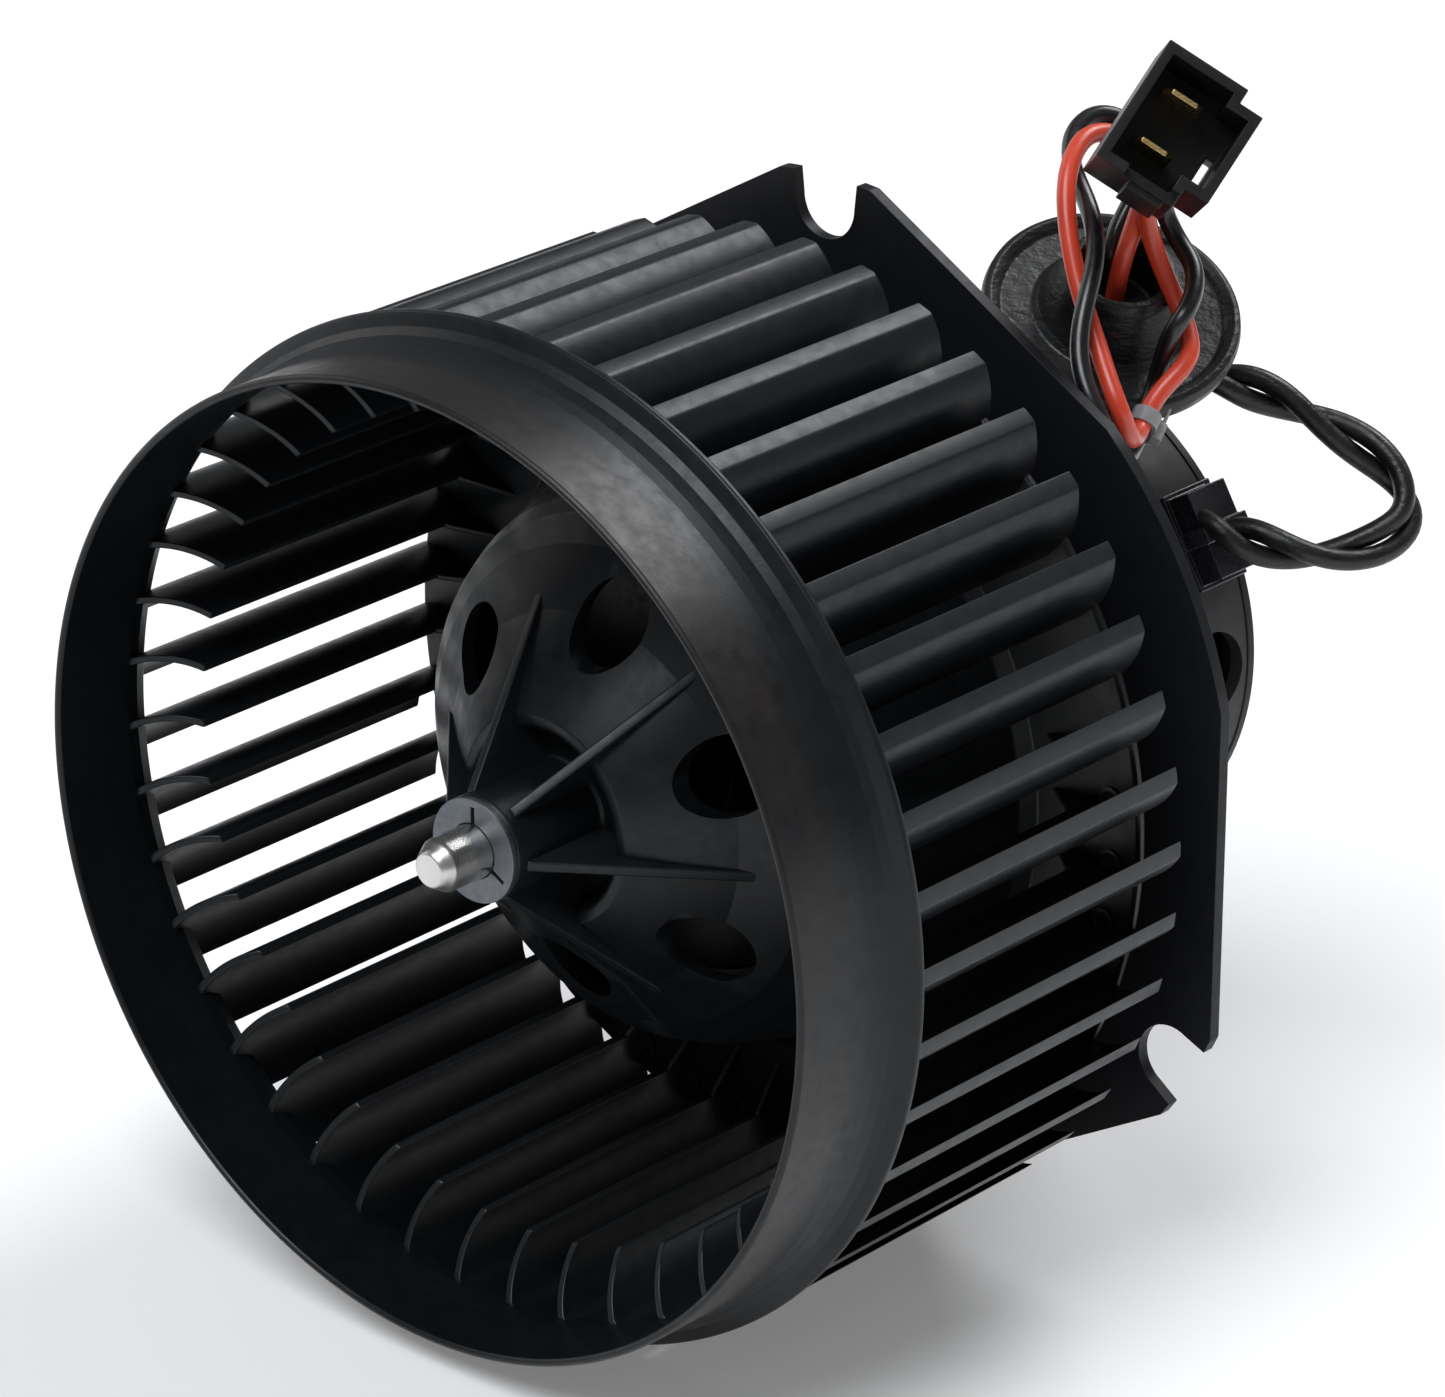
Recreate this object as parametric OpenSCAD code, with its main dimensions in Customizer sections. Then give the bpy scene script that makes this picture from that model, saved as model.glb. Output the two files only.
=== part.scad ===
// Automotive blower motor with its squirrel-cage wheel. Millimetres.
// Origin: on the shaft axis, at the flange's wheel-side face.
// The wheel's open eye faces -Y, the motor runs to +Y, +Z is up.

/* [Wheel] */
// outer radius of the front ring
ring_r = 72; // [60:0.5:90]
// front lip's distance from the flange
wheel_front = 87; // [70:1:110]
// number of blades
blade_count = 43; // [24:1:60]
// radius of the blades' outer edges
blade_outer_r = 75.5; // [60:0.5:95]
// radius of the blades' inner edges
blade_inner_r = 61.4; // [45:0.1:80]
// blade thickness
blade_t = 1.1; // [0.6:0.1:2]
// radius of the blade's curved section
blade_curve_r = 10.9; // [8:0.1:20]
// blades' rear ends, from the flange
blade_rear = 10.7; // [6:0.1:20]
// wall thickness of the hub dome's ribs
rib_t = 1.6; // [1:0.1:3]
// radius of the hub's six holes
hub_hole_r = 5.9; // [4:0.1:9]
// radius of the hub's stem
stem_r = 7.8; // [6:0.1:12]

/* [Shaft and push nut] */
// shaft radius
shaft_r = 4; // [3:0.1:6]
// thickness of the push nut
nut_t = 1.0; // [0.6:0.1:2]

/* [Flange and cup] */
// half the distance across the plate's flats
plate_apothem = 73.5; // [65:0.5:90]
// plate thickness
plate_t = 2; // [1.5:0.1:4]
// radius of the notches' round bottoms
notch_r = 5.5; // [4:0.1:8]
// distance of the notches from the axis
notch_at = 76.5; // [70:0.5:85]
// cup's outer radius
cup_r = 39.8; // [36:0.1:50]
// cup's wall thickness
cup_t = 2.2; // [1.5:0.1:4]
// cup's depth behind the plate's front face
cup_len = 51; // [45:0.5:70]
// radius of the cooling vent
vent_r = 6.8; // [4:0.1:9]
// vent's distance behind the plate's front face
vent_at = 43; // [38:0.5:60]

/* [Motor] */
// motor can's outer radius
can_r = 32; // [28:0.5:36]
// motor can's wall thickness
can_t = 2; // [1:0.1:3]
// armature radius
core_r = 24.2; // [18:0.1:26]
// armature length
core_len = 23; // [15:0.5:25]
// number of armature slots and commutator bars
slot_count = 12; // [8:1:16]
// commutator radius
comm_r = 12; // [9:0.5:14]
// bearing ball radius
bearing_r = 8; // [6:0.5:9]

/* [Leads and plug] */
// radius of the bare leads
lead_r = 1.4; // [1:0.1:2.5]
// radius of the sleeved leads
sleeve_r = 1.6; // [1.2:0.1:3]
// grommet's disc radius
grommet_r = 19.2; // [15:0.1:25]
// plug's depth
plug_len = 20; // [15:0.5:30]
// plug's wall thickness
plug_t = 1.5; // [1:0.1:2.5]

/* [Hidden] */
$fn = 96;

// small gap between neighbouring static pieces
fit = 0.05;
// radial running clearance of the shaft in its bearings
running = 0.03;
blade_pitch = 360 / blade_count;
first_blade = 101.46;
dome_first = 22.7;
hub_hole_at = 27.85;
// the holed band of the dome runs between these radii
band_inner = 18.5;
band_outer = 36.5;
core_z = 1;
front_bearing_z = 35;
rear_bearing_z = -34;
block_at = 31;

ink = [0.10, 0.10, 0.11];
steel = [0.72, 0.73, 0.75];
zinc = [0.55, 0.56, 0.58];
copper = [0.72, 0.42, 0.25];
brass = [0.78, 0.62, 0.30];
rubber = [0.06, 0.06, 0.06];

// local z runs from the motor towards the wheel's open eye
module axial() { rotate([90, 0, 0]) children(); }

// ---- wheel ----

ring_section = [
  [ring_r - 1.3, wheel_front - 0.4], [ring_r - 0.9, wheel_front],
  [ring_r - 0.4, wheel_front], [ring_r, wheel_front - 0.5],
  [ring_r, 75.5], [ring_r + 0.15, 73.5], [ring_r + 0.5, 71.6],
  [ring_r + 1.1, 69.9], [ring_r + 2.1, 68.8], [ring_r + 3.3, 68.2],
  [ring_r + 4, 67.8], [ring_r + 4.1, 67.4], [ring_r + 4.1, 66.9],
  [ring_r + 3.7, 66.5], [ring_r + 2.9, 66.5], [ring_r + 2.2, 67.2],
  [ring_r + 0.3, 68.6], [ring_r - 0.8, 71], [ring_r - 1.2, 73.2],
  [ring_r - 1.3, 75.5]
];

blade_envelope = [
  [blade_inner_r, blade_rear], [blade_outer_r, blade_rear],
  [blade_outer_r, 66.9], [74, 68.2], [72.6, 69.6], [71.2, 73],
  [70.9, 73.2], [blade_inner_r, 67]
];

dome_outer = [
  [51.5, 12.8], [49, 14.2], [46.4, 20], [43.4, 30], [41.4, 37.2],
  [39.6, 41], [36, 44.2], [27.85, 49.6], [22, 54.8], [18, 58],
  [15.6, 59.8], [14, 60], [12.9, 58.6], [12.4, 56], [stem_r, 56],
  [stem_r, 73.2]
];

dome_inner = [
  [14.4, 54], [14, 57], [19, 53.8], [27, 47.4], [35, 42.2],
  [38, 39], [39.4, 36.9], [41.4, 30], [44.4, 20], [47.2, 12.6],
  [51, 11]
];

hub_section = concat(
  [[shaft_r, 50], [shaft_r, 73.2]],
  [for (i = [len(dome_outer) - 1:-1:0]) dome_outer[i]],
  [[69.1, 12.8], [69.5, 12.4], [69.5, 11.4], [69.1, 11]],
  [for (i = [len(dome_inner) - 1:-1:0]) dome_inner[i]],
  [[9, 54], [9, 50]]
);

rib_section = [
  [6, 71.3], [8, 71.3], [31, 47.1], [27, 47.9],
  [14, 57.8], [12.5, 55], [6, 55]
];

module blade_2d() {
  translate([65.7, 5.25]) intersection() {
    difference() {
      circle(r = blade_curve_r + blade_t / 2);
      circle(r = blade_curve_r - blade_t / 2);
    }
    translate([-6, -14]) square([18, 11.3]);
  }
}

module wheel_ring() color(ink) axial()
  rotate_extrude() polygon(ring_section);

module band(inner, outer) translate([0, 0, 35]) difference() {
  cylinder(r = outer, h = 35);
  translate([0, 0, -1]) cylinder(r = inner, h = 37);
}

module wheel_hub() color(ink) axial() {
  difference() {
    rotate_extrude() polygon(hub_section);
    band(band_inner, band_outer);
  }
  for (k = [0:5]) rotate([0, 0, dome_first + 29.7 + 60 * k])
    rotate([90, 0, 0]) translate([0, 0, -rib_t / 2])
      linear_extrude(rib_t) polygon(rib_section);
}

// half of the holed band, as three sectors with one hole each
module dome_half(turn) axial() difference() {
  intersection() {
    rotate_extrude() polygon(hub_section);
    band(band_inner + fit, band_outer - fit);
    rotate([0, 0, dome_first - 30.3 + turn])
      translate([-band_outer, 0, 35]) cube([2 * band_outer, band_outer, 35]);
  }
  for (k = [0:5]) rotate([0, 0, dome_first + 60 * k]) {
    translate([hub_hole_at, 0, 35]) cylinder(r = hub_hole_r, h = 35);
    rotate([0, 0, 29.7]) translate([0, -fit, 35])
      cube([band_outer + 1, 2 * fit, 35]);
  }
}

module hub_dome_upper() color(ink) dome_half(0);

module hub_dome_lower() color(ink) dome_half(180);

// the blades' ends are set in the ring and in the hub's plate
module wheel_blades() color(ink) axial() intersection() {
  rotate_extrude() polygon(blade_envelope);
  union() for (k = [0:blade_count - 1])
    rotate([0, 0, first_blade - blade_pitch * k])
      translate([0, 0, blade_rear - 1]) linear_extrude(64) blade_2d();
}

module push_nut() color(zinc) axial() difference() {
  translate([0, 0, 73.2]) cylinder(r = stem_r, h = nut_t);
  translate([0, 0, 73]) cylinder(r = shaft_r + 0.1, h = nut_t + 1);
  for (a = [90, -30, 210]) rotate([0, 0, a])
    translate([shaft_r, -0.35, 73]) cube([2.6, 0.7, nut_t + 1]);
}

module shaft() color(steel) axial() {
  translate([0, 0, -44]) cylinder(r1 = shaft_r - 0.6, r2 = shaft_r, h = 0.6);
  translate([0, 0, -43.4]) cylinder(r = shaft_r, h = 123.9);
  translate([0, 0, 80.5]) cylinder(r1 = shaft_r, r2 = 2.5, h = 2.6);
}

// ---- armature ----

module slots_2d(gap) {
  for (k = [0:slot_count - 1]) rotate(360 / slot_count * k) polygon([
    [11.5 + gap, gap - 0.9], [20.6, gap - 3.9], [21.6 - gap, gap - 3.4],
    [22.3 - gap, gap - 1.2], [core_r + 1, gap - 1.2],
    [core_r + 1, 1.2 - gap], [22.3 - gap, 1.2 - gap],
    [21.6 - gap, 3.4 - gap], [20.6, 3.9 - gap], [11.5 + gap, 0.9 - gap]
  ]);
}

module core_2d(r) {
  difference() {
    circle(r = r);
    circle(r = shaft_r);
    slots_2d(0);
  }
}

module armature_core() color(zinc) axial() translate([0, 0, core_z])
  linear_extrude(core_len) core_2d(core_r);

module slot_insulators() color([0.75, 0.2, 0.15]) axial()
  for (z = [core_z - 0.8, core_z + core_len])
    translate([0, 0, z]) linear_extrude(0.8) core_2d(core_r - 0.6);

module winding_head() {
  rotate_extrude() polygon([
    [9, 0], [21.6, 0], [22, 0.8], [21.2, 2.6], [19, 3.6],
    [12, 3.6], [9.6, 2.8], [9, 1.6]
  ]);
}

module armature_winding() color(copper) axial() translate([0, 0, core_z]) {
  translate([0, 0, core_len + 0.8]) winding_head();
  translate([0, 0, -0.8]) mirror([0, 0, 1]) winding_head();
  intersection() {
    translate([0, 0, -0.8]) linear_extrude(core_len + 1.6) slots_2d(0.25);
    translate([0, 0, -2]) cylinder(r = 21.5, h = core_len + 4);
  }
}

module commutator_core() color([0.25, 0.12, 0.08]) axial()
  translate([0, 0, -18.6]) difference() {
    cylinder(r = comm_r - 2.4, h = 13.8);
    translate([0, 0, -1]) cylinder(r = shaft_r, h = 16);
  }

module commutator_bars() color(copper) axial() difference() {
  union() {
    translate([0, 0, -18]) cylinder(r = comm_r, h = 10);
    translate([0, 0, -9.4]) cylinder(r = comm_r + 1.4, h = 1.6);
  }
  translate([0, 0, -19]) cylinder(r = comm_r - 2.4, h = 13);
  for (k = [0:slot_count - 1]) rotate([0, 0, 360 / slot_count * (k + 0.5)])
    translate([0, -0.3, -19]) cube([comm_r + 3, 0.6, 13]);
}

module thrust_washers() color(steel) axial() for (z = [-24.4, -25.4])
  translate([0, 0, z]) difference() {
    cylinder(r = 6.4, h = 0.8);
    translate([0, 0, -1]) cylinder(r = shaft_r, h = 3);
  }

// ---- flange, cup and motor ----

module hexagon_2d(apothem) {
  rotate(30) circle(r = apothem / cos(30), $fn = 6);
}

module notch_2d() {
  translate([notch_at, 0]) circle(r = notch_r);
  polygon([[notch_at, -notch_r], [notch_at + 8, -notch_r - 0.9],
           [notch_at + 8, notch_r + 0.9], [notch_at, notch_r]]);
}

module plate_2d() {
  difference() {
    intersection() {
      hexagon_2d(plate_apothem);
      union() {
        circle(r = plate_apothem + 2.1);
        for (a = [90, 210, 330]) rotate(a) intersection() {
          circle(r = 80.4);
          polygon([[0, -8], [90, -26], [90, 26], [0, 8]]);
        }
      }
    }
    for (a = [90, 210, 330]) rotate(a) notch_2d();
    circle(r = cup_r - cup_t);
  }
}

module flange_housing() color([0.16, 0.16, 0.18]) axial() difference() {
  union() {
    translate([0, 0, -plate_t]) linear_extrude(plate_t) plate_2d();
    translate([0, 0, -cup_len]) difference() {
      cylinder(r = cup_r, h = cup_len - 0.5);
      translate([0, 0, -1]) cylinder(r = cup_r - cup_t, h = cup_len + 2);
    }
  }
  translate([30, 0.4, -vent_at]) rotate([0, 90, 0])
    cylinder(r = vent_r, h = 15);
}

module rear_cover() color(ink) axial() difference() {
  union() {
    translate([0, 0, -cup_len - 1.6]) cylinder(r = cup_r + 0.2, h = 1.6);
    translate([0, 0, -cup_len]) cylinder(r = cup_r - cup_t - fit, h = 1);
  }
  translate([0, 0, -cup_len - 0.1]) cylinder(r = cup_r - cup_t - 2, h = 2);
  for (k = [0:3]) rotate([0, 0, 45 + 90 * k])
    translate([27, 0, -cup_len - 3]) cylinder(r = 1.6, h = 3);
}

module motor_can() color(zinc) axial() difference() {
  union() {
    translate([0, 0, -28]) cylinder(r = can_r, h = 60);
    translate([0, 0, 32]) cylinder(r1 = 10.6, r2 = 10.2, h = 9);
  }
  translate([0, 0, -29]) cylinder(r = can_r - can_t, h = 59);
  translate([0, 0, 29]) cylinder(r = bearing_r + 0.1, h = 10.9);
  translate([0, 0, 30]) cylinder(r = shaft_r + 1.2, h = 15);
}

module end_cap() color(zinc) axial() difference() {
  union() {
    translate([0, 0, -30.5]) cylinder(r = can_r, h = 2.5);
    translate([0, 0, -29]) cylinder(r = can_r - can_t - fit, h = 2.6);
    translate([0, 0, -40.5]) cylinder(r1 = 9.9, r2 = 10.3, h = 11);
  }
  translate([0, 0, -29 + 0.1]) cylinder(r = can_r - can_t - 2, h = 4);
  translate([0, 0, -39]) cylinder(r = bearing_r + 0.1, h = 14);
  translate([0, 0, -41]) cylinder(r = shaft_r + 1.2, h = 5);
}

module magnets() color([0.2, 0.2, 0.21]) axial() for (a = [-65, 115])
  rotate([0, 0, a]) translate([0, 0, -6]) rotate_extrude(angle = 130)
    translate([core_r + 1, 0]) square([can_r - can_t - core_r - 1.1, 34]);

module magnet_clips() color(steel) axial() for (a = [70, 250])
  rotate([0, 0, a]) translate([0, 0, -2]) rotate_extrude(angle = 40)
    translate([can_r - can_t - 0.9, 0]) square([0.8, 26]);

module bearing(z) translate([0, 0, z]) difference() {
  intersection() {
    sphere(r = bearing_r);
    translate([0, 0, -4.9]) cylinder(r = 12, h = 9.8);
  }
  translate([0, 0, -6]) cylinder(r = shaft_r + running, h = 12);
}

module bearing_front() color([0.6, 0.48, 0.3]) axial()
  bearing(front_bearing_z);

module bearing_rear() color([0.6, 0.48, 0.3]) axial()
  bearing(rear_bearing_z);

module retainer() difference() {
  cylinder(r = 12, h = 0.8);
  translate([0, 0, -1]) cylinder(r = 5.4, h = 3);
  for (k = [0:5]) rotate([0, 0, 60 * k])
    translate([5, -0.6, -1]) cube([3.4, 1.2, 3]);
}

module bearing_retainers() color(steel) axial() {
  translate([0, 0, 29.2]) retainer();
  translate([0, 0, -28.85]) retainer();
}

// ---- brush gear ----

module brush_card() color([0.32, 0.2, 0.12]) axial() difference() {
  translate([0, 0, -22]) cylinder(r = can_r - can_t - fit, h = 2);
  translate([0, 0, -23]) cylinder(r = comm_r + 2, h = 4);
  for (a = [60, 120, 240, 300]) rotate([0, 0, a])
    translate([25, 0, -23]) cylinder(r = 1.5, h = 4);
}

module brush_holders() color(brass) axial() for (a = [0, 180])
  rotate([0, 0, a]) translate([14, 0, -20]) difference() {
    translate([0, -4.1, 0]) cube([12, 8.2, 8]);
    translate([-1, -3.2, 1]) cube([14, 6.4, 6]);
    translate([4, -1, 6]) cube([7, 2, 4]);
  }

module brushes() color([0.12, 0.12, 0.12]) axial() for (a = [0, 180])
  rotate([0, 0, a]) difference() {
    translate([comm_r - 1, -3.1, -18.9]) cube([10, 6.2, 5.8]);
    translate([0, 0, -21]) cylinder(r = comm_r + 0.35, h = 12);
  }

module brush_springs() color(steel) axial() for (a = [0, 180])
  rotate([0, 0, a]) translate([21.1, 0, -18.4]) linear_extrude(4.8)
    polygon([[0, -2.6], [0.4, -2.6], [2.8, 0], [0.4, 2.6], [0, 2.6],
             [2.3, 0]]);

// ---- rubber rings ----

module isolator(z, h) translate([0, 0, z]) linear_extrude(h)
  difference() {
    circle(r = cup_r - cup_t - fit);
    circle(r = can_r + fit);
    for (k = [0:11]) rotate(30 * k + 15) translate([can_r + 6.6, 0])
      circle(r = 3.2);
  }

module isolator_front() color(rubber) axial() isolator(-10, 7);

module isolator_rear() color(rubber) axial() isolator(-27, 7);

// ---- terminal block ----

module terminal_block() color(ink) axial() rotate([0, 0, block_at])
  difference() {
    union() {
      translate([36, -7.6, -50]) cube([6.2, 15.2, 11]);
      translate([36, -6.8, -48.6]) cube([10.2, 13.6, 8.8]);
      translate([36, -1.2, -49.4]) cube([11, 2.4, 10]);
    }
    translate([0, 0, -60]) cylinder(r = cup_r + fit, h = 40);
    for (s = [-1, 1]) translate([41, s * 4 - 0.45, -51])
      cube([4.8, 0.9, 7.1]);
  }

module terminal_tabs() color(brass) axial() rotate([0, 0, block_at])
  for (s = [-1, 1]) translate([41.1, s * 4 - 0.4, -47.5])
    linear_extrude(3.6) polygon([[0, 0], [4, 0], [4.5, 0.4], [4, 0.8],
                                 [0, 0.8]]);

// ---- leads ----

red_route = [
  [25.6, 34.2, 56.2], [27.2, 33, 60.8], [29, 32, 66], [29.5, 34, 71],
  [29, 37.5, 75.5], [27, 39, 80.5], [24, 36, 83.5], [23, 30.5, 84.5],
  [24.5, 25, 82], [26.5, 21.5, 78], [29.5, 19, 72.5], [33, 17, 66.5],
  [38, 15, 60.5], [43, 12, 56], [46, 11, 52.5], [45.5, 14, 47.5],
  [42, 20, 45.5], [40.5, 25, 49.5], [42, 28.5, 52.5], [42.5, 32, 55],
  [38.8, 34.9, 58], [34.9, 35.4, 63], [31.9, 34.9, 69],
  [31.5, 33.5, 74.5], [33.5, 31.6, 79.5], [36, 30.5, 84.5]
];

black_route = [
  [24, 37.2, 57], [24, 35.6, 61], [25.4, 33.4, 65.2], [25, 36, 69.5],
  [25, 40.5, 73.5], [24.5, 43.5, 78], [22, 42, 83.5], [18.5, 38, 85],
  [18, 33, 82.5], [21.5, 29, 79], [28, 25.5, 76], [34.5, 19.5, 72],
  [37, 14, 67.5], [38.5, 10, 62], [41.5, 7.5, 57.5], [45, 6.5, 54],
  [46, 8.5, 49.5], [44.2, 13, 43.6], [40.5, 20.5, 42.2],
  [38.5, 26, 46], [37.5, 30.5, 51], [40, 29, 58], [41.5, 31, 61],
  [40.5, 34.5, 63.5], [38, 37.5, 66], [34.5, 38.5, 68],
  [32.5, 38.5, 70.5], [31.5, 38, 73], [32, 37.5, 76.5],
  [33, 36, 80.5], [35.5, 34.5, 87.5]
];

pair_route = [
  [37, 41.6, 23.6], [40, 42.4, 24.4], [43.5, 43.8, 23.6],
  [49.5, 47.5, 21], [55.5, 54.5, 20.3], [60, 64.5, 23.5],
  [55, 66.5, 30], [48, 63, 35], [41.5, 59.5, 38.5], [36.5, 55, 42],
  [32, 51, 43.5], [28.5, 47.5, 43], [25, 42, 44], [22.6, 39.4, 47.6],
  [22.2, 38.4, 50.2]
];

// half the distance between the two sleeved leads' middles
pair_half = 1.68;
pair_turns = 3.1;
twist_ref = [-0.61, 0.69, -0.39];

function unit(v) = v / norm(v);
function last(P) = len(P) - 1;
function knot(P, i) =
  i < 0 ? 2 * P[0] - P[1] :
  i > last(P) ? 2 * P[last(P)] - P[last(P) - 1] : P[i];
function blend(a, b, c, d, t) =
  (a * pow(1 - t, 3) + b * (3 * pow(t, 3) - 6 * t * t + 4)
   + c * (-3 * pow(t, 3) + 3 * t * t + 3 * t + 1) + d * pow(t, 3)) / 6;
function along(P, u) =
  let (k = min(floor(u), last(P) - 1), t = u - k)
  blend(knot(P, k - 1), knot(P, k), knot(P, k + 1), knot(P, k + 2), t);
function centres(P, rings) =
  [for (i = [0:rings - 1]) along(P, i * last(P) / (rings - 1))];
function tangent(C, i) =
  unit(C[min(i + 1, last(C))] - C[max(i - 1, 0)]);
function twisted(C, side) =
  [for (i = [0:last(C)])
    let (u = unit(cross(tangent(C, i), twist_ref)),
         v = cross(tangent(C, i), u),
         a = 360 * pair_turns * i / last(C))
    C[i] + side * pair_half * (cos(a) * u + sin(a) * v)];
function carried(C, i) =
  i == 0 ? unit(cross(tangent(C, 0), [0.3, 0.2, 0.93])) :
  let (n = carried(C, i - 1), t = tangent(C, i)) unit(n - (n * t) * t);

module tube(C, r, sides = 8) {
  frames = [for (i = [0:last(C)])
    let (n = carried(C, i)) [n, cross(tangent(C, i), n)]];
  points = [for (i = [0:last(C)]) for (s = [0:sides - 1])
    C[i] + r * (cos(360 * s / sides) * frames[i][0]
                + sin(360 * s / sides) * frames[i][1])];
  walls = [for (i = [0:last(C) - 1]) for (s = [0:sides - 1])
    let (a = i * sides + s, b = i * sides + (s + 1) % sides)
    each [[a, a + sides, b], [b, a + sides, b + sides]]];
  ends = [[for (s = [0:sides - 1]) s],
          [for (s = [sides - 1:-1:0]) last(C) * sides + s]];
  polyhedron(points = points, faces = concat(walls, ends));
}

module lead_red() color([0.85, 0.2, 0.12])
  tube(centres(red_route, 21), lead_r);

module lead_black() color([0.05, 0.05, 0.06])
  tube(centres(black_route, 23), lead_r);

module lead_sleeved_a() color([0.07, 0.07, 0.07])
  tube(twisted(centres(pair_route, 18), 1), sleeve_r);

module lead_sleeved_b() color([0.07, 0.07, 0.07])
  tube(twisted(centres(pair_route, 18), -1), sleeve_r);

// ---- pieces on the leads ----

grommet_at = [24, 36, 55.3];

module grommet() color(rubber) translate(grommet_at)
  rotate([0, 30, -34]) rotate_extrude() polygon([
    [0, -7.5], [5.6, -7.5], [6.4, -6.7], [7, -1.6], [17.2, -1.6],
    [18.2, -1.9], [19, -1.2], [grommet_r, 0.2], [18.9, 1.6],
    [18, 2.1], [17, 1.5], [16.4, 0.9], [11.8, 0.9], [10.9, 2],
    [8.3, 9.6], [7.7, 10.8], [6.5, 10.8], [6.2, 9.8], [6.2, 2],
    [0, 2]
  ]);

module cable_tie() color([0.5, 0.5, 0.5])
  translate([40.2, 23.3, 46.12]) rotate([31.3, 42.5, 143.9]) {
    translate([0, 0, -1.2]) linear_extrude(2.4) difference() {
      loop_2d(2.15);
      loop_2d(1.45);
    }
    translate([-0.6, -3.4, -1.4]) cube([2.6, 1.6, 2.8]);
    translate([0.2, -3.1, 1]) cube([1.6, 0.5, 3.2]);
  }

// the band's outline round two leads side by side
module loop_2d(r) {
  translate([-1.95, 0]) circle(r = r);
  translate([1.95, 0]) circle(r = r);
  translate([-1.95, -r]) square([3.9, 2 * r]);
}

// ---- plug ----

plug_at = [48.7, 19.9, 93];
plug_turn = [61, 30.5, 28.5];

module on_plug() { translate(plug_at) rotate(plug_turn) children(); }

module plug_2d(inset) {
  polygon([
    [-8.4 + inset, -9.6 + inset], [-3.7, -9.6 + inset],
    [4.6 - inset, -9.6 + inset], [4.6 - inset, -6.9 + inset],
    [8.4 - inset, -6.9 + inset], [8.4 - inset, 7.4 - inset],
    [4.6 - inset, 7.4 - inset], [4.6 - inset, 9.6 - inset],
    [-8.4 + inset, 9.6 - inset]
  ]);
}

module connector_housing() color(ink) on_plug() difference() {
  union() {
    translate([0, 0, -plug_len]) linear_extrude(plug_len) plug_2d(0);
    translate([-6.6, -6.4, -plug_len - 2.6]) cube([11, 13, 3]);
    translate([-2.4, -10.6, -plug_len + 2]) cube([5.6, 1.6, plug_len - 6]);
  }
  translate([0, 0, -14]) linear_extrude(15) plug_2d(plug_t);
  translate([5.3, -4.5, -plug_len - 1]) cube([1.2, 5, plug_len]);
  translate([-3.7, -11, -3]) cube([9, 3.2, 4]);
}

module connector_blades() color(brass) on_plug() for (y = [-3.6, 4.4])
  translate([-2.1, y, 0]) rotate([90, 0, 0]) translate([0, 0, -0.4])
    linear_extrude(0.8) polygon([
      [-3.15, -14], [3.15, -14], [3.15, -5.4], [2, -4.2], [-2, -4.2],
      [-3.15, -5.4]
    ]);

wheel_hub();
hub_dome_upper();
hub_dome_lower();
wheel_blades();
wheel_ring();
push_nut();
shaft();
armature_core();
armature_winding();
slot_insulators();
commutator_core();
commutator_bars();
thrust_washers();
flange_housing();
rear_cover();
motor_can();
end_cap();
magnets();
magnet_clips();
bearing_front();
bearing_rear();
bearing_retainers();
brush_card();
brush_holders();
brushes();
brush_springs();
isolator_front();
isolator_rear();
terminal_block();
terminal_tabs();
lead_sleeved_a();
lead_sleeved_b();
lead_red();
lead_black();
grommet();
cable_tie();
connector_housing();
connector_blades();
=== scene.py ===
import math

import bmesh
import bpy
from mathutils import Matrix, Vector

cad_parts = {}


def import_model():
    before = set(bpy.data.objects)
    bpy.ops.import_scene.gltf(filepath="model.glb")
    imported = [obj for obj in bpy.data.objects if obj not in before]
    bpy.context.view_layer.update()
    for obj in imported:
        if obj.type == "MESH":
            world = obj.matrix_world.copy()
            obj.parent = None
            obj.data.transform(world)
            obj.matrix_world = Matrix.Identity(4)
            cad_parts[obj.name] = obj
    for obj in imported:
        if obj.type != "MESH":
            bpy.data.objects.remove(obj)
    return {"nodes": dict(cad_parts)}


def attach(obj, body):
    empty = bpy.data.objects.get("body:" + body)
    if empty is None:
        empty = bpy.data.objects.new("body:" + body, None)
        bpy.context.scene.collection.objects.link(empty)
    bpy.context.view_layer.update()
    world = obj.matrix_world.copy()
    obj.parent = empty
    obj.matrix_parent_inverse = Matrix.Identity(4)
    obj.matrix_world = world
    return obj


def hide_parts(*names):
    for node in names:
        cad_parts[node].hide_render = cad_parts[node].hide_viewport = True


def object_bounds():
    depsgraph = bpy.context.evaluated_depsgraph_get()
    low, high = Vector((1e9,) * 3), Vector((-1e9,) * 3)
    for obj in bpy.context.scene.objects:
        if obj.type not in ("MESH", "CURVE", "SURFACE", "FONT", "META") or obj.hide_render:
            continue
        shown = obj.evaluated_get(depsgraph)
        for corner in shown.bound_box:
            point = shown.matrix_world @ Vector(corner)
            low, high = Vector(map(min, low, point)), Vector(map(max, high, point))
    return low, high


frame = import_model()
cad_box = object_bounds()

MM = 0.001
scene = bpy.context.scene
nodes = frame["nodes"]


# ---------------------------------------------------------------- camera

camera_data = bpy.data.cameras.new("camera")
camera = bpy.data.objects.new("camera", camera_data)
scene.collection.objects.link(camera)
scene.camera = camera
camera.location = (0.5564, -0.6453, 0.3652)
camera.rotation_euler = (math.radians(66.76), 0.0, math.radians(41.75))
camera_data.sensor_fit = "HORIZONTAL"
camera_data.sensor_width = 36.0
camera_data.lens = 156.6
camera_data.clip_start = 0.01
camera_data.clip_end = 20.0


# ---------------------------------------------------------------- leads

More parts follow.
